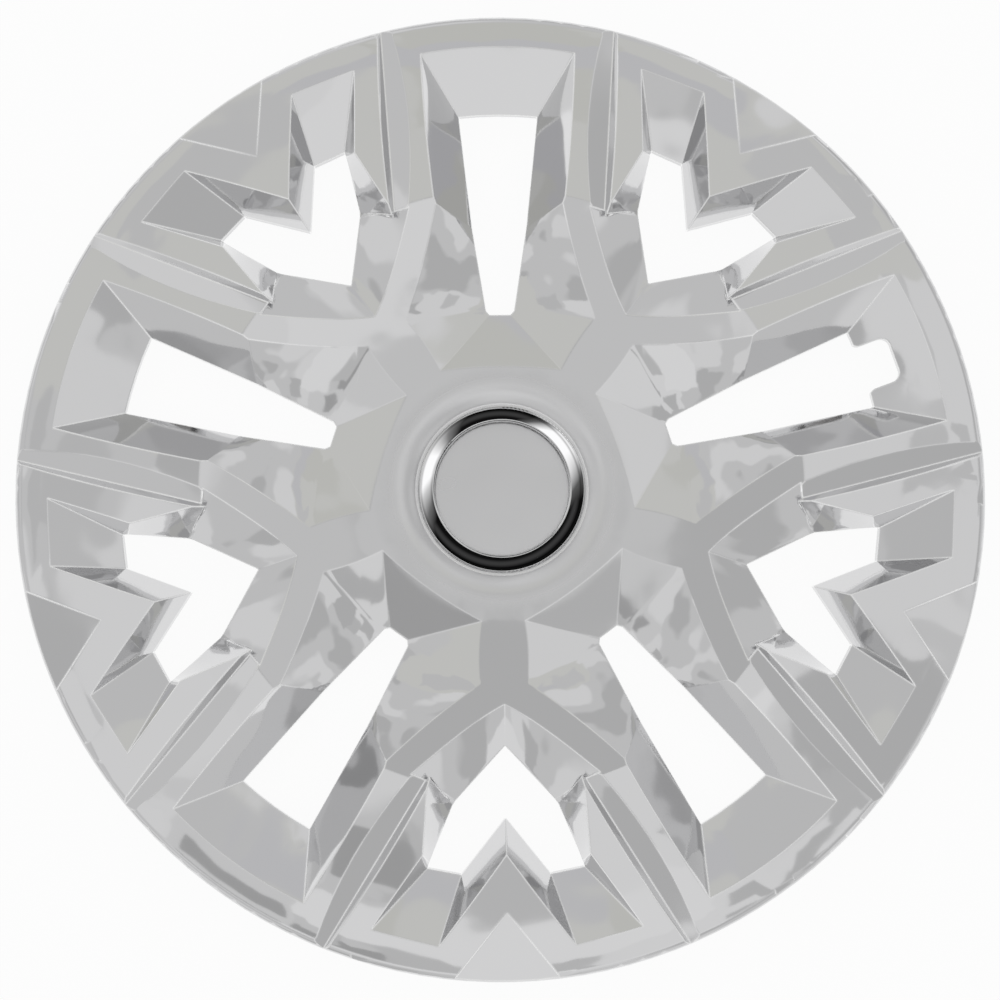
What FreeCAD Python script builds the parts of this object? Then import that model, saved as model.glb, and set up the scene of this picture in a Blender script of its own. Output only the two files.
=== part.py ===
"""Chrome wheel cover for a 15 inch steel wheel, lying face up on its clip lugs.

Millimetres, +Z out of the face, origin on the axis in the plane of the lug tips.
Heights in the sizes are measured from the plane of the rim edge, which stands lug_reach above the origin.
One long window lies on +Y and one chevron window on -Y; the other four of each are patterned.
"""
import FreeCAD, Part
import math
import os

import Sketcher

WINDOWS = 5

SIZES = {
    # cover blank: half section of the face
    "cover_radius": 200.0,
    "wall": 2.8,
    "skirt": 2.4,
    "lip_height": 1.6,
    "edge_width": 3.5,
    "edge_height": 3.2,
    "edge_roll": 3.6,
    "face_bow": 800.0,
    "crest_radius": 124.0,
    "crest_height": 7.8,
    "bowl_bow": 440.0,
    "hub_radius": 47.0,
    "hub_drop": 3.5,
    "hub_roll": 16.0,
    "floor_drop": 6.8,
    "blank_depth": 32.0,
    # long window: mouth outline above the crest, then the opening at its floor
    "mouth_clear": 0.5,
    "window_mouth_tip_x": 37.9,
    "window_mouth_tip_y": 191.9,
    "window_mouth_bow": 195.0,
    "window_mouth_waist_x": 27.6,
    "window_mouth_waist_y": 118.8,
    "window_flank_bow": 121.0,
    "window_mouth_hip_x": 79.4,
    "window_mouth_hip_y": 65.4,
    "window_mouth_base_x": 77.5,
    "window_mouth_base_y": 11.2,
    "window_depth": 7.4,
    "window_tip_x": 16.7,
    "window_tip_y": 159.4,
    "window_bow": 160.0,
    "window_waist_x": 11.4,
    "window_waist_y": 111.0,
    "window_heel_x": 5.9,
    "window_heel_y": 75.6,
    "window_base_x": 4.4,
    "window_base_y": 73.9,
    # chevron window: mouth outline, then the opening on its tilted floor
    "vee_mouth_notch_y": 150.5,
    "vee_mouth_inner_x": 30.8,
    "vee_mouth_inner_y": 194.6,
    "vee_mouth_outer_x": 62.4,
    "vee_mouth_outer_y": 186.1,
    "vee_mouth_knee_x": 33.9,
    "vee_mouth_knee_y": 148.6,
    "vee_mouth_point_x": 31.9,
    "vee_mouth_point_y": 115.8,
    "vee_mouth_bend_x": 39.5,
    "vee_mouth_bend_y": 115.9,
    "vee_mouth_root_y": 45.6,
    "vee_floor_height": 10.5,
    "vee_floor_tilt": 6.7,
    "vee_notch_y": 136.1,
    "vee_inner_x": 18.2,
    "vee_inner_y": 159.1,
    "vee_outer_x": 32.2,
    "vee_outer_y": 156.3,
    "vee_knee_x": 31.4,
    "vee_knee_y": 154.0,
    "vee_side_x": 21.6,
    "vee_side_y": 130.6,
    "vee_bend_x": 20.2,
    "vee_bend_y": 128.6,
    "vee_root_y": 106.7,
    # groove between the two strips of each spoke branch
    "groove_start": 111.5,
    "groove_start_x": 43.6,
    "groove_start_height": 5.5,
    "groove_start_bank": 6.1,
    "groove_start_step": 2.0,
    "groove_end_x": 49.8,
    "groove_end_height": 1.4,
    "groove_end_bank": 24.0,
    "groove_end_step": 8.0,
    # shallow arrow facet on the rim outside each chevron
    "arrow_height": 24.7,
    "arrow_tilt": 6.4,
    "arrow_tip_y": 173.1,
    "arrow_wing_x": 27.6,
    "arrow_wing_y": 207.3,
    # valve notch in one window
    "notch_half_width": 9.5,
    "notch_top": 173.2,
    "notch_corner": 4.0,
    "notch_flare": 3.0,
    "notch_overrun": 8.0,
    # centre ring and its seat
    "ring_outer": 34.7,
    "ring_width": 6.7,
    "ring_side": 0.7,
    "ring_edge": 0.6,
    "ring_edge_rise": 0.4,
    "ring_height": 4.5,
    "ring_crown": 0.9,
    "ring_crown_drop": 0.6,
    "shelf_width": 1.3,
    "seat_depth": 1.0,
    "seat_gap": 0.05,
    # clip lugs
    "lug_reach": 20.0,
    "lug_angle": 12.4,
    "lug_width": 12.0,
    "lug_radius": 174.0,
    "lug_thickness": 3.0,
    "hook_height": 5.0,
    "hook_rise": 9.5,
    "hook_reach": 3.5,
    "hook_lead": 1.2,
    "ledge_reach": 2.8,
    "ledge_thickness": 1.6,
    "ledge_slope": 0.4,
    "ledge_bottom": 4.4,
    # retaining wire
    "wire_radius": 1.6,
    "wire_gap": 0.15,
    "bow_half_width": 14.0,
    "bow_height": 10.0,
    "bow_foot": 5.2,
    "bow_lead": 5.0,
    "bow_bend": 5.0,
    "wire_opening": 3.0,
    # stiffening ribs behind the spoke stems
    "rib_start": 39.0,
    "rib_end": 84.0,
    "rib_thickness": 2.0,
    "rib_depth": 13.0,
    "rib_end_depth": 4.0,
}

WINDOW_AXIS = 90.0
VALVE_AXIS = 18.0
RIB_AXIS = 54.0

doc = FreeCAD.newDocument("WheelCover")
sheet = doc.addObject("Spreadsheet::Sheet", "Sizes")


def fill_sheet():
    for row, (name, value) in enumerate(SIZES.items(), start=1):
        sheet.set(f"A{row}", name)
        sheet.set(f"B{row}", str(value))
        sheet.setAlias(f"B{row}", name)
    doc.recompute()


def number(terms):
    """Value of a sum of sizes written as words, such as 'cover_radius -edge_width'."""
    total = 0.0
    for term in terms.split():
        sign = -1.0 if term.startswith("-") else 1.0
        total += sign * float(sheet.get(term.lstrip("-")))
    return total


def formula(terms):
    """The same sum as an expression on the sheet's cells."""
    text = ""
    for term in terms.split():
        sign = "-" if term.startswith("-") else "+"
        text += f" {sign} Sizes.{term.lstrip('-')}"
    return "0" + text


def origin_feature(body, role):
    return next(f for f in body.Origin.OriginFeatures if f.Role == role)


def new_sketch(body, name, plane, offset=None, turn=None):
    """Sketch on one of the body's own planes, moved by sums of sizes and turned about one axis."""
    sketch = body.newObject("Sketcher::SketchObject", name)
    sketch.AttachmentSupport = [(origin_feature(body, plane), "")]
    sketch.MapMode = "FlatFace"
    if turn:
        axis, angle = turn
        sketch.AttachmentOffset = FreeCAD.Placement(FreeCAD.Vector(), FreeCAD.Rotation(axis, 1.0))
        sketch.setExpression("AttachmentOffset.Rotation.Angle", angle)
    for letter, terms in (offset or {}).items():
        sketch.setExpression(f"AttachmentOffset.Base.{letter}", formula(terms))
    return sketch


def arc_between(start, end, radius, side):
    """Arc of the given radius that bulges to the left (side 1) or right (side -1) of start to end."""
    chord = end - start
    half = chord.Length / 2
    rise = radius - math.sqrt(radius**2 - half**2)
    left = FreeCAD.Vector(-chord.y, chord.x, 0).normalize()
    return Part.Arc(start, (start + end) * 0.5 + left * (rise * side), end)


def pin_coordinate(sketch, edge, pos, letter, terms):
    """Ties one coordinate of a point to a sum of sizes, or to the axis where the sum is empty."""
    if not terms:
        sketch.addConstraint(Sketcher.Constraint("PointOnObject", edge, pos, -2 if letter == "X" else -1))
        return
    index = sketch.addConstraint(
        Sketcher.Constraint(f"Distance{letter}", -1, 1, edge, pos, number(terms))
    )
    sketch.renameConstraint(index, f"{letter.lower()}{edge}")
    sketch.setExpression(f"Constraints.{letter.lower()}{edge}", formula(terms))


def draw(sketch, corners):
    """Closed outline from corners (x, y, edge), each edge running to the next corner.

    An edge is None for a line, or ('arc', radius, side) for an arc of that radius.
    """
    points = [FreeCAD.Vector(number(x), number(y), 0) for x, y, _ in corners]
    edges = []
    for i, (_, _, kind) in enumerate(corners):
        start, end = points[i], points[(i + 1) % len(points)]
        if kind is None:
            edges.append((sketch.addGeometry(Part.LineSegment(start, end)), 1, 2))
            continue
        _, size, side = kind
        edge = sketch.addGeometry(arc_between(start, end, number(size), side))
        edges.append((edge, 2, 1) if side > 0 else (edge, 1, 2))
        index = sketch.addConstraint(Sketcher.Constraint("Radius", edge, number(size)))
        sketch.renameConstraint(index, f"radius{edge}")
        sketch.setExpression(f"Constraints.radius{edge}", formula(size))
    for i, (x, y, _) in enumerate(corners):
        edge, first, _ = edges[i]
        before, _, last = edges[i - 1]
        sketch.addConstraint(Sketcher.Constraint("Coincident", before, last, edge, first))
        pin_coordinate(sketch, edge, first, "X", x)
        pin_coordinate(sketch, edge, first, "Y", y)


def negated(terms):
    return " ".join(t[1:] if t.startswith("-") else "-" + t for t in terms.split())


def mirrored(half, first_edge=None, last_edge=None):
    """Outline symmetric about the sketch's Y axis from its right half.

    first_edge joins the mirrored end back to the start, and last_edge joins the two halves at the far end.
    """
    right = list(half)
    x, y, _ = right[-1]
    if x:
        right[-1] = (x, y, last_edge)
    left = []
    for i in range(len(half) - 1, -1, -1):
        x, y, _ = half[i]
        if not x:
            continue
        kind = half[i - 1][2] if i > 0 else first_edge
        left.append((negated(x), y, kind))
    return right + left


def revolve(body, name, sketch):
    feature = body.newObject("PartDesign::Revolution", name)
    feature.Profile = sketch
    feature.ReferenceAxis = (sketch, ["V_Axis"])
    feature.Angle = 360.0
    body.Tip = feature
    doc.recompute()
    return feature


def loft_cut(body, name, first, second):
    feature = body.newObject("PartDesign::SubtractiveLoft", name)
    feature.Profile = first
    feature.Sections = [second]
    feature.Ruled = True
    body.Tip = feature
    doc.recompute()
    return feature


def down_pad(body, name, sketch):
    """Prism from the sketch down through the cover."""
    feature = body.newObject("PartDesign::Pad", name)
    feature.Profile = sketch
    feature.Reversed = True
    feature.setExpression("Length", formula("blank_depth"))
    body.Tip = feature
    doc.recompute()
    return feature


def up_cut(body, name, sketch):
    """Takes off what stands above the sketch."""
    feature = body.newObject("PartDesign::Pocket", name)
    feature.Profile = sketch
    feature.Reversed = True
    feature.setExpression("Length", formula("crest_height"))
    body.Tip = feature
    doc.recompute()
    return feature


def side_pad(body, name, sketch, width):
    feature = body.newObject("PartDesign::Pad", name)
    feature.Profile = sketch
    feature.SideType = "Symmetric"
    feature.setExpression("Length", formula(width))
    body.Tip = feature
    doc.recompute()
    return feature


def five_fold(body, name, originals):
    feature = body.newObject("PartDesign::PolarPattern", name)
    feature.Originals = originals
    feature.Axis = (origin_feature(body, "Z_Axis"), [""])
    feature.Angle = 360.0
    feature.Occurrences = WINDOWS
    body.Tip = feature
    doc.recompute()
    return feature


def new_body(name):
    body = doc.addObject("PartDesign::Body", name)
    body.Label = name
    return body


RIM_PLANE = {"y": "lug_reach"}
MOUTH_PLANE = {"z": "lug_reach crest_height mouth_clear"}
X_AXIS = FreeCAD.Vector(1, 0, 0)
Y_AXIS = FreeCAD.Vector(0, 1, 0)
Z_AXIS = FreeCAD.Vector(0, 0, 1)


def window_opening(body, name):
    """Opening of the long window, on its level floor."""
    sketch = new_sketch(body, name, "XY_Plane", {"z": "lug_reach -window_depth"})
    half = [
        ("window_tip_x", "window_tip_y", None),
        ("window_waist_x", "window_waist_y", None),
        ("window_heel_x", "window_heel_y", None),
        ("window_base_x", "window_base_y", None),
    ]
    draw(sketch, mirrored(half, ("arc", "window_bow", 1)))
    return sketch


def vee_opening(body, name):
    """Opening of the chevron window, on a floor that drops towards the rim."""
    turn = (X_AXIS, "Sizes.vee_floor_tilt")
    sketch = new_sketch(body, name, "XY_Plane", {"z": "lug_reach vee_floor_height"}, turn)
    half = [
        ("", "-vee_notch_y", None),
        ("vee_inner_x", "-vee_inner_y", None),
        ("vee_outer_x", "-vee_outer_y", None),
        ("vee_knee_x", "-vee_knee_y", None),
        ("vee_side_x", "-vee_side_y", None),
        ("vee_bend_x", "-vee_bend_y", None),
        ("", "-vee_root_y", None),
    ]
    draw(sketch, mirrored(half))
    return sketch


def build_front():
    """Solid under the face of the cover, with the recesses sunk into it."""
    body = new_body("front")
    section = new_sketch(body, "FaceSection", "XZ_Plane", RIM_PLANE)
    draw(section, [
        ("", "-blank_depth", None),
        ("cover_radius", "-blank_depth", None),
        ("cover_radius", "lip_height", ("arc", "edge_roll", -1)),
        ("cover_radius -edge_width", "edge_height", ("arc", "face_bow", -1)),
        ("crest_radius", "crest_height", ("arc", "bowl_bow", 1)),
        ("hub_radius", "-hub_drop", ("arc", "hub_roll", -1)),
        ("ring_outer shelf_width", "-floor_drop", None),
        ("", "-floor_drop", None),
    ])
    revolve(body, "Face", section)

    mouth = new_sketch(body, "WindowMouth", "XY_Plane", MOUTH_PLANE)
    draw(mouth, mirrored([
        ("window_mouth_tip_x", "window_mouth_tip_y", None),
        ("window_mouth_waist_x", "window_mouth_waist_y", ("arc", "window_flank_bow", -1)),
        ("window_mouth_hip_x", "window_mouth_hip_y", None),
        ("window_mouth_base_x", "-window_mouth_base_y", None),
    ], ("arc", "window_mouth_bow", 1)))
    window = loft_cut(body, "WindowRecess", mouth, window_opening(body, "WindowFloor"))
    five_fold(body, "WindowRecesses", [window])

    mouth = new_sketch(body, "VeeMouth", "XY_Plane", MOUTH_PLANE)
    draw(mouth, mirrored([
        ("", "-vee_mouth_notch_y", None),
        ("vee_mouth_inner_x", "-vee_mouth_inner_y", None),
        ("vee_mouth_outer_x", "-vee_mouth_outer_y", None),
        ("vee_mouth_knee_x", "-vee_mouth_knee_y", None),
        ("vee_mouth_point_x", "-vee_mouth_point_y", None),
        ("vee_mouth_bend_x", "-vee_mouth_bend_y", None),
        ("", "-vee_mouth_root_y", None),
    ]))
    vee = loft_cut(body, "VeeRecess", mouth, vee_opening(body, "VeeFloor"))
    five_fold(body, "VeeRecesses", [vee])

    arrow = new_sketch(
        body, "ArrowFacet", "XY_Plane", {"z": "lug_reach arrow_height"}, (X_AXIS, "Sizes.arrow_tilt")
    )
    draw(arrow, mirrored([
        ("", "-arrow_tip_y", None),
        ("arrow_wing_x", "-arrow_wing_y", None),
    ]))
    five_fold(body, "ArrowFacets", [up_cut(body, "Arrow", arrow)])

    grooves = [build_groove(body, side) for side in ("", "-")]
    five_fold(body, "BranchGrooves", grooves)
    return body


def build_groove(body, side):
    """Groove along a spoke branch: a broad bank on the window's side and a steep step on the other."""
    name = "Left" if side else "Right"
    sections = []
    for station, place in (("start", "-groove_start"), ("end", "-cover_radius")):
        sketch = new_sketch(
            body, f"{name}Groove{station.title()}", "XZ_Plane", {"y": "lug_reach", "z": place}
        )
        line = f"groove_{station}_x"
        top = "crest_height mouth_clear"
        across = [f"{line} -groove_{station}_bank", line, f"{line} groove_{station}_step"]
        if side:
            across = [negated(terms) for terms in across]
        draw(sketch, [
            (across[0], top, None),
            (across[1], f"groove_{station}_height", None),
            (across[2], top, None),
        ])
        sections.append(sketch)
    return loft_cut(body, f"{name}Groove", *sections)


def lowered_front(front, name, drop):
    """Copy of the front that follows it, moved down by an expression on the sizes."""
    copy = doc.addObject("App::Link", name)
    copy.LinkedObject = front
    copy.LinkTransform = False
    copy.setExpression("Placement.Base.z", f"-({drop})")
    return copy


def build_shell(front):
    """The front with everything more than one wall below its surface taken out."""
    limit = doc.addObject("Part::Cylinder", "CoreLimit")
    limit.setExpression("Radius", formula("cover_radius -skirt"))
    limit.setExpression("Height", formula("blank_depth blank_depth lug_reach"))
    limit.setExpression("Placement.Base.z", formula("-blank_depth"))
    core = doc.addObject("Part::Common", "Core")
    core.Base = lowered_front(front, "FrontCore", "Sizes.wall")
    core.Tool = limit
    shell = doc.addObject("Part::Cut", "Shell")
    shell.Base = front
    shell.Tool = core
    doc.recompute()
    return shell


def lug_section(body, name, axis_angle):
    """Radial section of a clip lug: blade, outward hook and two ledges that hold the wire."""
    sketch = new_sketch(body, name, "XZ_Plane", turn=(Y_AXIS, axis_angle))
    inner = "lug_radius -lug_thickness"
    ledge = inner + " -ledge_reach"
    low = "ledge_bottom"
    low_top = low + " ledge_slope ledge_thickness"
    high = low_top + " ledge_slope wire_radius wire_radius wire_gap wire_gap"
    draw(sketch, [
        (inner + " hook_lead", "", None),
        ("lug_radius", "", None),
        ("lug_radius hook_reach", "hook_height", None),
        ("lug_radius", "hook_rise", None),
        ("lug_radius", "lug_reach crest_height", None),
        (inner, "lug_reach crest_height", None),
        (inner, high + " ledge_slope ledge_thickness ledge_slope", None),
        (ledge, high + " ledge_slope ledge_thickness", None),
        (ledge, high, None),
        (inner, high, None),
        (inner, low_top + " ledge_slope", None),
        (ledge, low_top, None),
        (ledge, low + " ledge_slope", None),
        (inner, low, None),
    ])
    return sketch


def build_openings():
    """Everything cut through or into the finished shell: windows, valve notch, rim edge and ring seat."""
    body = new_body("openings")
    trim = new_sketch(body, "RimTrim", "XZ_Plane", RIM_PLANE)
    draw(trim, [
        ("cover_radius -skirt -skirt", "", None),
        ("cover_radius skirt", "", None),
        ("cover_radius skirt", "-blank_depth -skirt", None),
        ("cover_radius -skirt -skirt", "-blank_depth -skirt", None),
    ])
    revolve(body, "RimEdge", trim)

    seat = new_sketch(body, "RingSeatSection", "XZ_Plane", RIM_PLANE)
    draw(seat, [
        ("ring_outer -ring_width -seat_gap", "-floor_drop -seat_depth", None),
        ("ring_outer seat_gap", "-floor_drop -seat_depth", None),
        ("ring_outer seat_gap", "-floor_drop seat_depth", None),
        ("ring_outer -ring_width -seat_gap", "-floor_drop seat_depth", None),
    ])
    revolve(body, "RingSeat", seat)

    window = down_pad(body, "WindowOpening", window_opening(body, "WindowOutline"))
    vee = down_pad(body, "VeeOpening", vee_opening(body, "VeeOutline"))
    five_fold(body, "WindowOpenings", [window, vee])

    notch = new_sketch(
        body, "ValveOutline", "XY_Plane", {"z": "lug_reach crest_height"},
        (Z_AXIS, f"{VALVE_AXIS - WINDOW_AXIS}"),
    )
    draw(notch, mirrored([
        ("notch_half_width notch_flare", "window_tip_y -notch_overrun", None),
        ("notch_half_width notch_flare", "window_tip_y", ("arc", "notch_flare", 1)),
        ("notch_half_width", "window_tip_y notch_flare", None),
        ("notch_half_width", "notch_top -notch_corner", ("arc", "notch_corner", -1)),
        ("notch_half_width -notch_corner", "notch_top", None),
    ]))
    down_pad(body, "ValveNotch", notch)
    return body


def build_fittings(front):
    """Clip lugs and stem ribs on the back of the shell, which end half a wall under its surface."""
    body = new_body("fittings")
    lugs = []
    for name, sign in (("Leading", "+"), ("Trailing", "-")):
        section = lug_section(body, f"{name}LugSection", f"{VALVE_AXIS} {sign} Sizes.lug_angle")
        lugs.append(side_pad(body, f"{name}Lug", section, "lug_width"))
    rib = new_sketch(body, "StemRibSection", "XZ_Plane", RIM_PLANE, (Y_AXIS, f"{RIB_AXIS}"))
    draw(rib, [
        ("rib_start", "-rib_depth", None),
        ("rib_end", "-rib_end_depth", None),
        ("rib_end", "crest_height", None),
        ("rib_start", "crest_height", None),
    ])
    ribs = side_pad(body, "StemRib", rib, "rib_thickness")
    five_fold(body, "LugsAndRibs", lugs + [ribs])
    trimmed = doc.addObject("Part::Common", "RootedFittings")
    trimmed.Base = body
    trimmed.Tool = lowered_front(front, "FrontMidWall", "Sizes.wall / 2")
    doc.recompute()
    return trimmed


def build_cover():
    front = build_front()
    cut = doc.addObject("Part::Cut", "OpenShell")
    cut.Base = build_shell(front)
    cut.Tool = build_openings()
    cover = doc.addObject("Part::Fuse", "cover")
    cover.Label = "cover"
    cover.Base = cut
    cover.Tool = build_fittings(front)
    doc.recompute()
    return cover


def build_centre_ring():
    body = new_body("centre_ring")
    section = new_sketch(body, "RingSection", "XZ_Plane", RIM_PLANE)
    inner = "ring_outer -ring_width"
    draw(section, [
        (inner, "-floor_drop -seat_depth", None),
        ("ring_outer", "-floor_drop -seat_depth", None),
        ("ring_outer", "-floor_drop ring_side", ("arc", "ring_edge", -1)),
        ("ring_outer -ring_edge", "-floor_drop ring_side ring_edge_rise", None),
        (inner + " ring_crown", "-floor_drop ring_height", ("arc", "ring_crown", -1)),
        (inner, "-floor_drop ring_height -ring_crown_drop", None),
    ])
    revolve(body, "ConeRing", section)
    return body


def rounded_path(points, radius):
    """Edges of a polyline whose inner corners are rounded by tangent arcs."""
    edges = []
    start = points[0]
    for before, corner, after in zip(points, points[1:], points[2:]):
        towards = (before - corner).normalize()
        onwards = (after - corner).normalize()
        half = towards.getAngle(onwards) / 2
        back = radius / math.tan(half)
        middle = (towards + onwards).normalize()
        centre = corner + middle * (radius / math.sin(half))
        first, last = corner + towards * back, corner + onwards * back
        edges.append(Part.LineSegment(start, first).toShape())
        edges.append(Part.Arc(first, centre - middle * radius, last).toShape())
        start = last
    edges.append(Part.LineSegment(start, points[-1]).toShape())
    return edges


def wire_path():
    """Centre line of the wire: a ring with a bow round the valve and an opening opposite."""
    radius = number("lug_radius -lug_thickness -wire_gap -wire_radius")
    level = number("ledge_bottom ledge_slope ledge_thickness ledge_slope wire_gap wire_radius")
    foot = number("bow_half_width bow_foot")
    lead = foot + number("bow_lead")
    reach = math.sqrt(radius**2 - lead**2)
    foot_y = reach + (lead - foot) * lead / reach
    bow_y = foot_y + number("bow_height")
    top = number("bow_half_width")
    corners = [(lead, reach), (foot, foot_y), (top, bow_y), (-top, bow_y), (-foot, foot_y), (-lead, reach)]
    edges = rounded_path([FreeCAD.Vector(x, y, level) for x, y in corners], number("bow_bend"))
    gap = number("wire_opening") / radius
    span = math.asin(lead / radius)

    def on_ring(angle):
        return FreeCAD.Vector(radius * math.sin(angle), radius * math.cos(angle), level)

    def ring_arc(start, end):
        return Part.Arc(on_ring(start), on_ring((start + end) / 2), on_ring(end)).toShape()

    right = ring_arc(math.pi - gap, span)
    left = ring_arc(-span, gap - math.pi)
    wire = Part.Wire([right] + edges + [left])
    wire.rotate(FreeCAD.Vector(), Z_AXIS, VALVE_AXIS - WINDOW_AXIS)
    return wire


def build_retaining_wire():
    path = doc.addObject("Part::Feature", "WirePath")
    path.Shape = wire_path()
    end = path.Shape.OrderedEdges[0]
    section = doc.addObject("Part::Circle", "WireSection")
    section.setExpression("Radius", formula("wire_radius"))
    start = end.valueAt(end.FirstParameter)
    along = end.tangentAt(end.FirstParameter)
    section.Placement = FreeCAD.Placement(start, FreeCAD.Rotation(Z_AXIS, along))
    wire = doc.addObject("Part::Sweep", "retaining_wire")
    wire.Label = "retaining_wire"
    wire.Sections = [section]
    wire.Spine = path
    wire.Solid = True
    wire.Frenet = False
    doc.recompute()
    return wire


def check_document():
    for item in doc.Objects:
        bad = [state for state in item.State if state in ("Invalid", "Error")]
        if bad:
            raise RuntimeError(f"{item.Name}: {bad} {item.getStatusString()}")


def write_parts(parts):
    os.makedirs("parts", exist_ok=True)
    for part in parts:
        shape = part.Shape
        if shape.isNull() or not shape.isValid():
            raise RuntimeError(f"{part.Label} has no valid shape")
        if len(shape.Solids) != 1:
            raise RuntimeError(f"{part.Label} is {len(shape.Solids)} solids, not one")
        print(part.Label, round(shape.Volume / 1000, 2), "cm3")
        shape.exportStep(f"parts/{part.Label}.step")


fill_sheet()
cover = build_cover()
centre_ring = build_centre_ring()
retaining_wire = build_retaining_wire()
doc.recompute()
check_document()
write_parts([cover, centre_ring, retaining_wire])
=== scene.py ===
import math

import bmesh
import bpy
from bpy.props import FloatProperty, FloatVectorProperty, PointerProperty
from bpy.types import Operator, Panel, PropertyGroup
from mathutils import Matrix, Vector, noise


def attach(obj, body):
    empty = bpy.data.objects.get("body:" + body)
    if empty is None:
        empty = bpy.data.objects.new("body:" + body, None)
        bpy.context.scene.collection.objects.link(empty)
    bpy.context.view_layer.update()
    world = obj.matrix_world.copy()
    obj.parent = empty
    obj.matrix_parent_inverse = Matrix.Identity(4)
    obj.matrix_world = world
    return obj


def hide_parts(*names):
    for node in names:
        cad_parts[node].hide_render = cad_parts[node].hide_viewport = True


bl_info = {
    "name": "Chrome wheel cover",
    "version": (1, 0, 0),
    "blender": (4, 5, 0),
    "location": "3D View > Sidebar > Wheel Cover",
    "description": "Dresses the wheel cover's solids in plating and sets the studio round it",
    "category": "Object",
}

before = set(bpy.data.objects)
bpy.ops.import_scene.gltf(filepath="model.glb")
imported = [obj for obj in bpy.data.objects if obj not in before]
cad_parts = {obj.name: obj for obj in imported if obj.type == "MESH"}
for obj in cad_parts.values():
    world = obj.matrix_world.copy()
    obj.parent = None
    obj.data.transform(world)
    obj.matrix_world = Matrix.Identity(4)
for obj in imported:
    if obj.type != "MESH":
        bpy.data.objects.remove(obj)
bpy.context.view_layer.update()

# Joining the triangles of a CAD mesh
JOIN_GAP = 0.00001  # metres
FLAT_ANGLE = math.radians(0.2)  # triangles that meet flatter than this become one face

# Noises, in waves per metre
PLATING_HAZE = 22.0
PLATING_RIPPLE = 26.0
RING_HAZE = 60.0
WIRE_HAZE = 300.0
WIRE_MARKS = 900.0
TENT_FOLDS = 1.2
NOISE_SPAN = (0.3, 0.7)  # most of a noise lies in this span

# Plating: an edge counts as rounded, and gets its painted highlight, between these cosines of its turn away
# from the face.
EDGE_START = 0.993
EDGE_FULL = 0.970
HUB_FADE = 1.2  # the softer polish round the hub ends at this many hub radii

SENSOR_WIDTH = 36.0  # millimetres

# Light panels
PANEL_STEP = 1.5  # degrees between the mesh lines of a panel
BORDER_SEED = 7  # keeps the borders the same in every run
BORDER_WAVES = 16.0  # waves of a panel's border in one radian
BORDER_SWAY = 0.022  # how far a border sways, as a share of its reach
WHITE = (1.0, 1.0, 1.0)
CREAM = (1.0, 1.0, 0.965)
WARM = (1.0, 1.0, 0.95)
COOL = (0.98, 0.98, 1.0)
# Each panel's span round +Z and down from +Z in degrees, share of the dome's reach, strength and tint.
# A gap, flag or card is a darker piece of cloth among or in front of the lights.
PANELS = (
    ("top_light", (0, 360), (0, 8.5), 1.0, 0.69, WHITE),
    ("top_right_light", (-62, 15), (4, 11), 0.98, 0.85, WHITE),
    ("back_top_gap", (66, 160), (8.5, 19.5), 1.0, 0.55, WHITE),
    ("back_light", (36, 156), (19.5, 38), 1.0, 0.70, CREAM),
    ("back_low_card", (58, 112), (33.6, 37.5), 0.98, 0.65, COOL),
    ("back_right_card", (40, 58), (30.5, 37), 0.98, 0.65, WHITE),
    ("back_left_card", (112, 137), (30.5, 36), 0.98, 0.64, WHITE),
    ("back_middle_card", (77, 100), (28, 34.2), 0.96, 0.65, WARM),
    ("left_gap", (156, 173), (25, 30), 1.0, 0.605, WHITE),
    ("left_light", (176, 211), (16, 27.5), 1.0, 0.82, WHITE),
    ("front_left_light", (-147, -122), (13, 30), 1.0, 0.73, WHITE),
    ("front_left_gap", (-141.5, -125.5), (20, 23.4), 0.98, 0.44, WHITE),
    ("front_flag", (-121, -110), (15, 19.6), 1.0, 0.43, WHITE),
    ("front_gap", (-110, -73), (14, 21.5), 1.0, 0.605, WHITE),
    ("front_light", (-122, -56), (22, 36), 0.99, 0.87, WHITE),
    ("front_left_low_gap", (-131, -112), (36, 43), 1.0, 0.55, WHITE),
    ("front_right_low_gap", (-70, -44), (36.5, 43), 1.0, 0.55, WHITE),
    ("front_right_light", (-73, -30), (8.5, 27.5), 1.0, 0.83, WHITE),
    ("front_right_high_light", (-30, -20), (8.5, 19), 1.0, 0.90, WHITE),
    ("front_right_gap", (-50, -37.5), (21.2, 25), 0.98, 0.565, WHITE),
    ("front_right_flag", (-51, -45), (17, 19.6), 0.98, 0.545, WHITE),
    ("right_low_gap", (-37.5, -30), (23.5, 28.5), 0.98, 0.585, WHITE),
    ("right_gap", (-30, -9.5), (20, 29.5), 0.98, 0.545, WHITE),
    ("right_light", (-9.5, 36), (15, 33), 1.0, 0.80, WHITE),
    ("right_low_card", (9, 20), (27.5, 31.5), 0.98, 0.635, WHITE),
)

# Tent and the strips for the centre ring, as shares of the dome's reach and in degrees down from the axis
TENT_REACH = 1.2
TENT_FALL = (0, 87)
CLOTH_REACH = 1.19
LAMP_REACH = 1.18
LAMP_FALL = (48, 80)
LAMP_STRENGTH = 1.4
FACE_FALL = (60.0, 76.0)  # the part of the lamp strip that shows in the ring's rounded face
LEAN_SPAN = (0.28, 0.74)  # shares of the reach along +Y over which the lamps' lean turns about
# Direction round the axis in degrees and brightness of the lamps there
LAMPS = (
    (-180, 0.6), (-165, 0.15), (-152, 0.005), (-10, 0.005), (6, 0.1), (22, 0.7), (32, 1.0),
    (52, 1.0), (64, 0.1), (72, 0.005), (116, 0.005), (130, 0.2), (150, 1.0), (172, 1.0), (180, 0.6),
)
LAMP_LINES = ((0.15, 0.6), (0.25, 1.0), (0.6, 1.0), (0.7, 0.5), (0.78, 0.9), (0.9, 0.7))
DARK_STREAK = ((0.3, 0.0), (0.46, 0.04), (0.54, 0.04), (0.7, 0.0))


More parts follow.
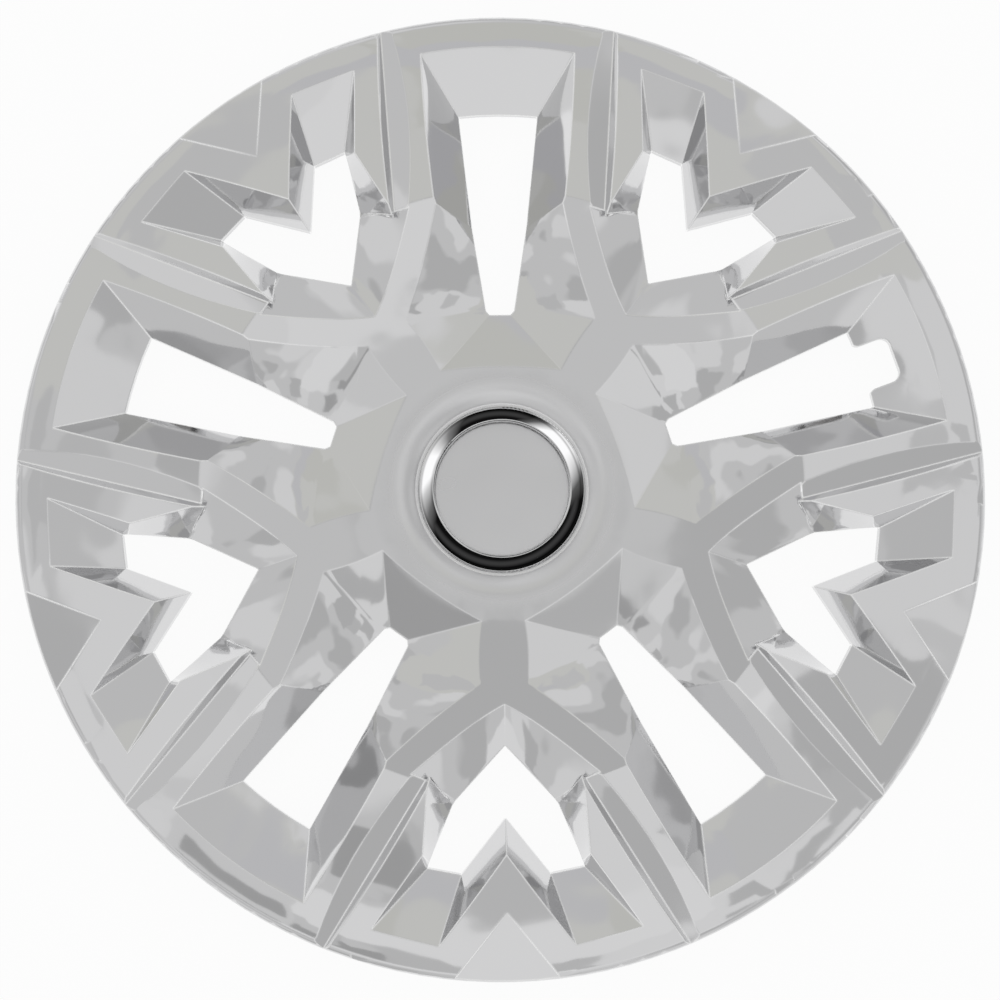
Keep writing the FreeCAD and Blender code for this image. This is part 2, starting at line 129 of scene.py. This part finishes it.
class PlatingSettings(PropertyGroup):
    """Bright plating on the moulded cover."""

    colour: FloatVectorProperty(
        name="Colour", description="Tint of the plating", subtype="COLOR",
        min=0.0, max=1.0, default=(0.72, 0.72, 0.726),
    )
    # painted highlight: the plating's base colour turns to this on rounded edges
    edge_highlight_colour: FloatVectorProperty(
        name="Edge colour", description="Tint of the plating on rounded edges", subtype="COLOR",
        min=0.0, max=1.0, default=(1.0, 1.0, 1.0),
    )
    roughness: FloatProperty(
        name="Roughness", description="Blur of reflections in clean plating",
        default=0.03, min=0.0, max=1.0,
    )
    haze: FloatProperty(
        name="Haze", description="Extra roughness where the plating is handled",
        default=0.03, min=0.0, max=1.0,
    )
    hub_radius: FloatProperty(
        name="Hub radius", description="Reach of the softer polish round the ring", unit="LENGTH",
        default=0.046, min=0.0,
    )
    hub_haze: FloatProperty(
        name="Hub haze", description="Extra roughness round the ring", default=0.24, min=0.0, max=1.0,
    )
    ripple: FloatProperty(
        name="Ripple", description="Height of the slow waves in the moulded skin", unit="LENGTH",
        default=0.0006, min=0.0,
    )
    edge_radius: FloatProperty(
        name="Edge radius", description="Rounding of the moulded edges", unit="LENGTH",
        default=0.0010, min=0.0,
    )
    crease_angle: FloatProperty(
        name="Crease angle", description="Edges flatter than this are shaded smooth", subtype="ANGLE",
        default=math.radians(9.0), min=0.0,
    )


class RingSettings(PropertyGroup):
    """Bright ring round the emblem seat."""

    colour: FloatVectorProperty(
        name="Colour", description="Tint of the mirror plating", subtype="COLOR",
        min=0.0, max=1.0, default=(0.70, 0.70, 0.705),
    )
    roughness: FloatProperty(
        name="Roughness", description="Blur of the ring's reflections", default=0.02, min=0.0, max=1.0,
    )
    haze: FloatProperty(
        name="Haze", description="Extra roughness where the ring is handled", default=0.02, min=0.0, max=1.0,
    )
    middle: FloatProperty(
        name="Middle", description="Radius at the middle of the ring's face", unit="LENGTH",
        default=0.0315,
    )
    crown: FloatProperty(
        name="Crown", description="How strongly the ring's face is rounded, per metre", default=10.0,
    )
    crease_angle: FloatProperty(
        name="Crease angle", description="Edges flatter than this are shaded smooth", subtype="ANGLE",
        default=math.radians(25.0), min=0.0,
    )


class WireSettings(PropertyGroup):
    """Retaining wire behind the lugs."""

    colour: FloatVectorProperty(
        name="Colour", description="Tint of the drawn spring wire", subtype="COLOR",
        min=0.0, max=1.0, default=(0.42, 0.41, 0.40),
    )
    roughness: FloatProperty(
        name="Roughness", description="Blur of the wire's reflections", default=0.34, min=0.0, max=1.0,
    )
    haze: FloatProperty(
        name="Haze", description="Extra roughness of the drawn skin", default=0.16, min=0.0, max=1.0,
    )
    crease_angle: FloatProperty(
        name="Crease angle", description="Edges flatter than this are shaded smooth", subtype="ANGLE",
        default=math.radians(40.0), min=0.0,
    )


class StageSettings(PropertyGroup):
    """Camera, floor and light."""

    camera_distance: FloatProperty(
        name="Camera distance", description="From the middle of the rim plane", unit="LENGTH",
        default=0.8,
    )
    rim_plane: FloatProperty(
        name="Rim plane", description="Height of the rim's edge", unit="LENGTH", default=0.020,
    )
    tilt: FloatProperty(
        name="Tilt", description="How far the face leans back from the camera", subtype="ANGLE",
        default=math.radians(-6.11),
    )
    turn: FloatProperty(
        name="Turn", description="How far the face turns sideways", subtype="ANGLE",
        default=math.radians(1.01),
    )
    roll: FloatProperty(
        name="Roll", description="Turn of the cover about its own axis", subtype="ANGLE",
        default=math.radians(0.52),
    )
    lens: FloatProperty(name="Lens", description="Focal length in millimetres", default=69.7)
    shift: FloatVectorProperty(
        name="Shift", description="Framing offset in picture widths", size=2,
        default=(-0.0023, -0.0125),
    )
    floor_size: FloatProperty(
        name="Floor size", description="Side of the pale floor", unit="LENGTH", default=6.0,
    )
    floor_shade: FloatProperty(
        name="Floor shade", description="Share of the cast shadow that shows on the floor", default=0.06,
    )
    room: FloatProperty(name="Room", description="Brightness of the room", default=0.68)
    folds: FloatProperty(
        name="Folds", description="How far the tent's folds part from its mean brightness", default=0.13,
    )
    dome: FloatProperty(name="Dome", description="Reach of the light panels", unit="LENGTH", default=1.6)
    lamp_slant: FloatProperty(
        name="Lamp slant", description="How far the ring's lamps lean across their strip", subtype="ANGLE",
        default=math.radians(24.0),
    )


def settings():
    """The user's settings in this scene."""
    return bpy.context.scene.wheel_cover


def new_material(name):
    """New material with its node lists and its shader."""
    material = bpy.data.materials.new(name)
    material.use_nodes = True
    nodes = material.node_tree.nodes
    return material, nodes, material.node_tree.links, nodes["Principled BSDF"]


def combine(nodes, links, operation, first, second):
    """Sum on two values, each of them a socket or a plain number."""
    node = nodes.new("ShaderNodeMath")
    node.operation = operation
    for socket, value in zip(node.inputs, (first, second)):
        if isinstance(value, float):
            socket.default_value = value
        else:
            links.new(value, socket)
    return node.outputs[0]


def remap(nodes, links, value, old, new=(0.0, 1.0)):
    """Maps the span old onto the span new, and holds at its ends."""
    node = nodes.new("ShaderNodeMapRange")
    for socket, number in zip(("From Min", "From Max", "To Min", "To Max"), (*old, *new)):
        node.inputs[socket].default_value = number
    links.new(value, node.inputs["Value"])
    return node.outputs["Result"]


def object_noise(nodes, links, scale, detail=2.0):
    """Noise on the piece's own coordinates, with scale in waves per metre."""
    place = nodes.new("ShaderNodeTexCoord")
    grain = nodes.new("ShaderNodeTexNoise")
    grain.inputs["Scale"].default_value = scale
    grain.inputs["Detail"].default_value = detail
    links.new(place.outputs["Object"], grain.inputs["Vector"])
    return grain.outputs["Fac"]


def patchy(nodes, links, grain, least, extra):
    """Roughness that rises from least by extra in the patches of a noise."""
    return remap(nodes, links, grain, NOISE_SPAN, (least, least + extra))


def bump(nodes, links, height, distance, strength=1.0):
    """Bump node on a height, to be linked to a shader's normal."""
    node = nodes.new("ShaderNodeBump")
    node.inputs["Strength"].default_value = strength
    node.inputs["Distance"].default_value = distance
    links.new(height, node.inputs["Height"])
    return node


def axis_distance(nodes, links):
    """Distance from the cover's axis, in metres."""
    place = nodes.new("ShaderNodeTexCoord")
    flat = nodes.new("ShaderNodeVectorMath")
    flat.operation = "MULTIPLY"
    flat.inputs[1].default_value = (1.0, 1.0, 0.0)
    length = nodes.new("ShaderNodeVectorMath")
    length.operation = "LENGTH"
    links.new(place.outputs["Object"], flat.inputs[0])
    links.new(flat.outputs["Vector"], length.inputs[0])
    return length.outputs["Value"]


def edge_highlight_mask(nodes, links, rounded):
    """1 on the rounding of an edge, 0 on the open face; it places the painted edge highlight."""
    face = nodes.new("ShaderNodeNewGeometry")
    match = nodes.new("ShaderNodeVectorMath")
    match.operation = "DOT_PRODUCT"
    links.new(rounded, match.inputs[0])
    links.new(face.outputs["Normal"], match.inputs[1])
    return remap(nodes, links, match.outputs["Value"], (EDGE_START, EDGE_FULL))


def plating_material(plating):
    """Chrome with a painted highlight on its rounded edges, slow ripples and a softer polish round the hub.
    """
    material, nodes, links, shader = new_material("bright_plating")
    shader.inputs["Metallic"].default_value = 1.0
    edges = nodes.new("ShaderNodeBevel")
    edges.samples = 6
    edges.inputs["Radius"].default_value = plating.edge_radius
    # painted highlight: the base colour brightens to the edge highlight colour on rounded edges
    tint = nodes.new("ShaderNodeMix")
    tint.data_type = "RGBA"
    tint.inputs["A"].default_value = (*plating.colour, 1.0)
    tint.inputs["B"].default_value = (*plating.edge_highlight_colour, 1.0)
    links.new(edge_highlight_mask(nodes, links, edges.outputs["Normal"]), tint.inputs["Factor"])
    links.new(tint.outputs["Result"], shader.inputs["Base Color"])
    haze = patchy(
        nodes, links, object_noise(nodes, links, PLATING_HAZE), plating.roughness, plating.haze,
    )
    hub = remap(
        nodes, links, axis_distance(nodes, links),
        (plating.hub_radius, plating.hub_radius * HUB_FADE), (plating.hub_haze, 0.0),
    )
    links.new(combine(nodes, links, "ADD", haze, hub), shader.inputs["Roughness"])
    ripple = bump(nodes, links, object_noise(nodes, links, PLATING_RIPPLE, 1.0), plating.ripple)
    links.new(edges.outputs["Normal"], ripple.inputs["Normal"])
    links.new(ripple.outputs["Normal"], shader.inputs["Normal"])
    return material


def ring_material(ring):
    """Mirror finish whose bump rounds the ring's sloping face a little."""
    material, nodes, links, shader = new_material("mirror_ring")
    shader.inputs["Base Color"].default_value = (*ring.colour, 1.0)
    shader.inputs["Metallic"].default_value = 1.0
    haze = patchy(nodes, links, object_noise(nodes, links, RING_HAZE), ring.roughness, ring.haze)
    links.new(haze, shader.inputs["Roughness"])
    offset = combine(nodes, links, "SUBTRACT", axis_distance(nodes, links), ring.middle)
    crown = bump(nodes, links, combine(nodes, links, "MULTIPLY", offset, offset), ring.crown)
    crown.invert = True
    links.new(crown.outputs["Normal"], shader.inputs["Normal"])
    return material


def wire_material(wire):
    """Dull steel with fine drawing marks."""
    material, nodes, links, shader = new_material("drawn_wire")
    shader.inputs["Base Color"].default_value = (*wire.colour, 1.0)
    shader.inputs["Metallic"].default_value = 1.0
    haze = patchy(nodes, links, object_noise(nodes, links, WIRE_HAZE, 4.0), wire.roughness, wire.haze)
    links.new(haze, shader.inputs["Roughness"])
    drawn = bump(nodes, links, object_noise(nodes, links, WIRE_MARKS, 3.0), 0.0001, 0.4)
    links.new(drawn.outputs["Normal"], shader.inputs["Normal"])
    return material


def add_piece(name, mesh, material, node):
    """Links a finished mesh that stands for a CAD node."""
    mesh.materials.clear()
    mesh.materials.append(material)
    piece = bpy.data.objects.new(name, mesh)
    bpy.context.scene.collection.objects.link(piece)
    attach(piece, "root")
    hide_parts(node)


def joined_copy(node, name, crease_angle):
    """Copy of a CAD node with its loose triangles joined and its creases marked."""
    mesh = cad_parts[node].data.copy()
    mesh.name = name
    work = bmesh.new()
    work.from_mesh(mesh)
    bmesh.ops.remove_doubles(work, verts=work.verts[:], dist=JOIN_GAP)
    bmesh.ops.dissolve_limit(work, angle_limit=FLAT_ANGLE, verts=work.verts[:], edges=work.edges[:])
    bmesh.ops.triangulate(work, faces=work.faces[:])
    for face in work.faces:
        face.smooth = True
    for edge in work.edges:
        edge.smooth = edge.is_manifold and edge.calc_face_angle() < crease_angle
    work.to_mesh(mesh)
    work.free()
    return mesh


class WHEELCOVER_OT_cover(Operator):
    """Dress the moulded cover in bright plating"""

    bl_idname = "wheel_cover.cover"
    bl_label = "Plated cover"

    def execute(self, context):
        plating = settings().plating
        mesh = joined_copy("cover", "cover_plated", plating.crease_angle)
        add_piece("cover_plated", mesh, plating_material(plating), "cover")
        return {"FINISHED"}


class WHEELCOVER_OT_ring(Operator):
    """Polish the bright centre ring"""

    bl_idname = "wheel_cover.ring"
    bl_label = "Centre ring"

    def execute(self, context):
        ring = settings().ring
        mesh = joined_copy("centre_ring", "ring_bright", ring.crease_angle)
        add_piece("ring_bright", mesh, ring_material(ring), "centre_ring")
        return {"FINISHED"}


class WHEELCOVER_OT_wire(Operator):
    """Give the retaining wire its dull drawn finish"""

    bl_idname = "wheel_cover.wire"
    bl_label = "Retaining wire"

    def execute(self, context):
        wire = settings().wire
        mesh = joined_copy("retaining_wire", "wire_spring", wire.crease_angle)
        add_piece("wire_spring", mesh, wire_material(wire), "retaining_wire")
        return {"FINISHED"}


def seen_rays(nodes, links):
    """1 for rays that come from the camera, straight or by a mirror or a clear body."""
    path = nodes.new("ShaderNodeLightPath")
    either = path.outputs["Is Camera Ray"]
    for kind in ("Is Glossy Ray", "Is Transmission Ray"):
        either = combine(nodes, links, "MAXIMUM", either, path.outputs[kind])
    return either


def floor_material(stage):
    """White to the eye and to mirrors, with a share of the cast shadow left in."""
    material, nodes, links, shader = new_material("pale_floor")
    shader.inputs["Base Color"].default_value = (0.92, 0.92, 0.92, 1.0)
    shader.inputs["Roughness"].default_value = 0.9
    shader.inputs["Specular IOR Level"].default_value = 0.0
    glow = nodes.new("ShaderNodeEmission")
    glow.inputs["Strength"].default_value = 1.0
    blend = nodes.new("ShaderNodeMixShader")
    share = combine(nodes, links, "MULTIPLY", seen_rays(nodes, links), 1.0 - stage.floor_shade)
    links.new(share, blend.inputs["Fac"])
    links.new(shader.outputs[0], blend.inputs[1])
    links.new(glow.outputs[0], blend.inputs[2])
    links.new(blend.outputs[0], nodes["Material Output"].inputs["Surface"])
    return material


def room_world(stage):
    """Room light that looks plain white to the eye and in mirrors."""
    world = bpy.data.worlds.new("studio_room")
    world.use_nodes = True
    nodes = world.node_tree.nodes
    links = world.node_tree.links
    room = nodes["Background"]
    room.inputs["Color"].default_value = (*WHITE, 1.0)
    room.inputs["Strength"].default_value = stage.room
    plain = nodes.new("ShaderNodeBackground")
    plain.inputs["Color"].default_value = (*WHITE, 1.0)
    plain.inputs["Strength"].default_value = 1.0
    blend = nodes.new("ShaderNodeMixShader")
    links.new(seen_rays(nodes, links), blend.inputs["Fac"])
    links.new(room.outputs[0], blend.inputs[1])
    links.new(plain.outputs[0], blend.inputs[2])
    links.new(blend.outputs[0], nodes["World Output"].inputs["Surface"])
    bpy.context.scene.world = world


def dome_strip(name, turn, fall, reach):
    """Dome strip with wavy borders, from its spans round +Z and down from +Z in degrees."""
    start, end = (math.radians(angle) for angle in turn)
    mesh = bpy.data.meshes.new(name)
    work = bmesh.new()
    edge = []
    steps = max(2, round((fall[1] - fall[0]) / PANEL_STEP))
    for i in range(steps + 1):
        down = math.radians(fall[0] + (fall[1] - fall[0]) * i / steps)
        spot = Vector((math.sin(down) * math.cos(start), math.sin(down) * math.sin(start), math.cos(down)))
        edge.append(work.verts.new(spot * reach))
    lines = [work.edges.new(pair) for pair in zip(edge, edge[1:])]
    bmesh.ops.spin(
        work, geom=edge + lines, cent=(0, 0, 0), axis=(0, 0, 1), angle=end - start,
        steps=max(2, round((turn[1] - turn[0]) / PANEL_STEP)),
    )
    bmesh.ops.remove_doubles(work, verts=work.verts[:], dist=0.0001)
    for vert in work.verts:
        along = vert.co.normalized()
        sway = noise.noise_vector(along * BORDER_WAVES) * BORDER_SWAY
        vert.co = (along + sway).normalized() * reach
    work.to_mesh(mesh)
    work.free()
    return mesh


def glow_material(name, strength=1.0, tint=WHITE):
    """Plain glow that lights the cover and shows in its plating."""
    material, nodes, links, shader = new_material(name)
    nodes.remove(shader)
    glow = nodes.new("ShaderNodeEmission")
    glow.inputs["Color"].default_value = (*tint, 1.0)
    glow.inputs["Strength"].default_value = strength
    links.new(glow.outputs[0], nodes["Material Output"].inputs["Surface"])
    material.cycles.emission_sampling = "NONE"
    return material, nodes, links, glow


def tone_ramp(nodes, links, value, stops):
    """Greys at places from 0 to 1, blended evenly between them."""
    ramp = nodes.new("ShaderNodeValToRGB")
    while len(ramp.color_ramp.elements) < len(stops):
        ramp.color_ramp.elements.new(1.0)
    for element, (place, tone) in zip(ramp.color_ramp.elements, stops):
        element.position = place
        element.color = (tone, tone, tone, 1.0)
    links.new(value, ramp.inputs["Fac"])
    return ramp.outputs["Color"]


def tent_material(stage):
    """White cloth whose folds are a little brighter or darker, with clear borders."""
    material, nodes, links, glow = glow_material("light_tent")
    low, high = stage.room - stage.folds, stage.room + stage.folds
    folds = tone_ramp(
        nodes, links, object_noise(nodes, links, TENT_FOLDS, 1.5),
        ((0.42, low), (0.45, stage.room), (0.55, stage.room), (0.58, high)),
    )
    links.new(folds, glow.inputs["Color"])
    return material


def lamp_material(stage, reach):
    """Lamps at the sides of the strip, and dark with a faint streak at its front and back."""
    material, nodes, links, glow = glow_material("low_ring", LAMP_STRENGTH)
    place = nodes.new("ShaderNodeTexCoord")
    upright = nodes.new("ShaderNodeMapping")
    upright.inputs["Rotation"].default_value = (-stage.tilt, 0.0, 0.0)
    links.new(place.outputs["Object"], upright.inputs["Vector"])
    parts = nodes.new("ShaderNodeSeparateXYZ")
    links.new(upright.outputs["Vector"], parts.inputs["Vector"])
    # 0 at the upper border of the shown part of the strip, 1 at the lower one
    heights = [reach * math.cos(math.radians(angle)) for angle in FACE_FALL]
    across = remap(nodes, links, parts.outputs["Z"], heights)
    # the lamps lean one way at the back and the other way at the front
    half_slant = stage.lamp_slant / 2
    slant = remap(nodes, links, across, (0.0, 1.0), (-half_slant, half_slant))
    side = remap(nodes, links, parts.outputs["Y"], [reach * share for share in LEAN_SPAN], (-1.0, 1.0))
    turned = nodes.new("ShaderNodeVectorRotate")
    turned.rotation_type = "Z_AXIS"
    links.new(upright.outputs["Vector"], turned.inputs["Vector"])
    links.new(combine(nodes, links, "MULTIPLY", slant, side), turned.inputs["Angle"])
    round_z = nodes.new("ShaderNodeTexGradient")
    round_z.gradient_type = "RADIAL"
    links.new(turned.outputs["Vector"], round_z.inputs["Vector"])
    stops = [(angle / 360 + 0.5, tone) for angle, tone in LAMPS]
    lamps = tone_ramp(nodes, links, round_z.outputs["Fac"], stops)
    lines = tone_ramp(nodes, links, across, LAMP_LINES)
    streak = tone_ramp(nodes, links, across, DARK_STREAK)
    lined = combine(nodes, links, "MULTIPLY", lamps, lines)
    links.new(combine(nodes, links, "MAXIMUM", lined, streak), glow.inputs["Color"])
    clear = nodes.new("ShaderNodeBsdfTransparent")
    through = nodes.new("ShaderNodeAddShader")
    links.new(glow.outputs[0], through.inputs[0])
    links.new(clear.outputs[0], through.inputs[1])
    links.new(through.outputs[0], nodes["Material Output"].inputs["Surface"])
    return material


def add_light(name, mesh, material):
    """Links a glowing mesh round the cover, out of the camera's sight."""
    mesh.materials.append(material)
    light = bpy.data.objects.new(name, mesh)
    bpy.context.scene.collection.objects.link(light)
    light.visible_camera = False
    return light


def aim_light(light, piece, state):
    """Light linking: the light reaches this piece alone (INCLUDE) or all but it (EXCLUDE)."""
    reached = bpy.data.collections.new(light.name + "_reach")
    reached.objects.link(piece)
    reached.collection_objects[0].light_linking.link_state = state
    light.light_linking.receiver_collection = reached


def add_lights(stage):
    """Light tent, the panels that hang in it and a low strip of lamps for the centre ring alone."""
    noise.seed_set(BORDER_SEED)
    tent = dome_strip("light_tent", (0, 360), TENT_FALL, stage.dome * TENT_REACH)
    add_light("light_tent", tent, tent_material(stage))
    for name, turn, fall, share, strength, tint in PANELS:
        material = glow_material(name, strength, tint)[0]
        add_light(name, dome_strip(name, turn, fall, stage.dome * share), material)
    ring = bpy.data.objects["ring_bright"]
    for name, reach, material, state in (
        ("low_cloth", stage.dome * CLOTH_REACH, tent_material(stage), "EXCLUDE"),
        ("low_ring", stage.dome * LAMP_REACH, lamp_material(stage, stage.dome * LAMP_REACH), "INCLUDE"),
    ):
        strip = dome_strip(name, (0, 360), LAMP_FALL, reach)
        strip.transform(Matrix.Rotation(stage.tilt, 4, "X"))
        aim_light(add_light(name, strip, material), ring, state)


def add_floor(stage):
    """Pale floor under the lugs."""
    mesh = bpy.data.meshes.new("floor")
    work = bmesh.new()
    bmesh.ops.create_grid(work, x_segments=1, y_segments=1, size=stage.floor_size / 2)
    work.to_mesh(mesh)
    work.free()
    mesh.materials.append(floor_material(stage))
    floor = bpy.data.objects.new("floor", mesh)
    bpy.context.scene.collection.objects.link(floor)


def add_camera(stage):
    """Camera above the face, set by how the cover leans, turns and rolls in its view."""
    turn = Matrix.Rotation(stage.turn, 3, "Y")
    tilt = Matrix.Rotation(stage.tilt, 3, "X")
    roll = Matrix.Rotation(stage.roll, 3, "Z")
    lean = (turn @ tilt @ roll).transposed()
    data = bpy.data.cameras.new("camera")
    data.lens = stage.lens
    data.sensor_width = SENSOR_WIDTH
    data.shift_x, data.shift_y = stage.shift
    camera = bpy.data.objects.new("camera", data)
    middle = Vector((0.0, 0.0, stage.rim_plane))
    place = middle + lean @ Vector((0.0, 0.0, stage.camera_distance))
    camera.matrix_world = Matrix.Translation(place) @ lean.to_4x4()
    bpy.context.scene.collection.objects.link(camera)
    bpy.context.scene.camera = camera


class WHEELCOVER_OT_stage(Operator):
    """Set the pale floor, soft light and camera"""

    bl_idname = "wheel_cover.stage"
    bl_label = "Studio"

    def execute(self, context):
        stage = settings().stage
        add_floor(stage)
        add_camera(stage)
        room_world(stage)
        add_lights(stage)
        context.scene.view_settings.view_transform = "Standard"
        return {"FINISHED"}


class WheelCoverSettings(PropertyGroup):
    """Everything a user may change."""

    plating: PointerProperty(type=PlatingSettings)
    ring: PointerProperty(type=RingSettings)
    wire: PointerProperty(type=WireSettings)
    stage: PointerProperty(type=StageSettings)


class WHEELCOVER_PT_panel(Panel):
    """Buttons for each piece and the studio"""

    bl_idname = "WHEELCOVER_PT_panel"
    bl_label = "Wheel Cover"
    bl_space_type = "VIEW_3D"
    bl_region_type = "UI"
    bl_category = "Wheel Cover"

    def draw(self, context):
        for operator in OPERATORS:
            self.layout.operator(operator.bl_idname)


OPERATORS = (WHEELCOVER_OT_cover, WHEELCOVER_OT_ring, WHEELCOVER_OT_wire, WHEELCOVER_OT_stage)
CLASSES = (
    PlatingSettings, RingSettings, WireSettings, StageSettings, WheelCoverSettings,
    *OPERATORS, WHEELCOVER_PT_panel,
)


def register():
    for cls in CLASSES:
        bpy.utils.register_class(cls)
    bpy.types.Scene.wheel_cover = PointerProperty(type=WheelCoverSettings)


def unregister():
    del bpy.types.Scene.wheel_cover
    for cls in reversed(CLASSES):
        bpy.utils.unregister_class(cls)


def main():
    register()
    bpy.ops.wheel_cover.cover()
    bpy.ops.wheel_cover.ring()
    bpy.ops.wheel_cover.wire()
    bpy.ops.wheel_cover.stage()


if __name__ == "__main__":
    main()
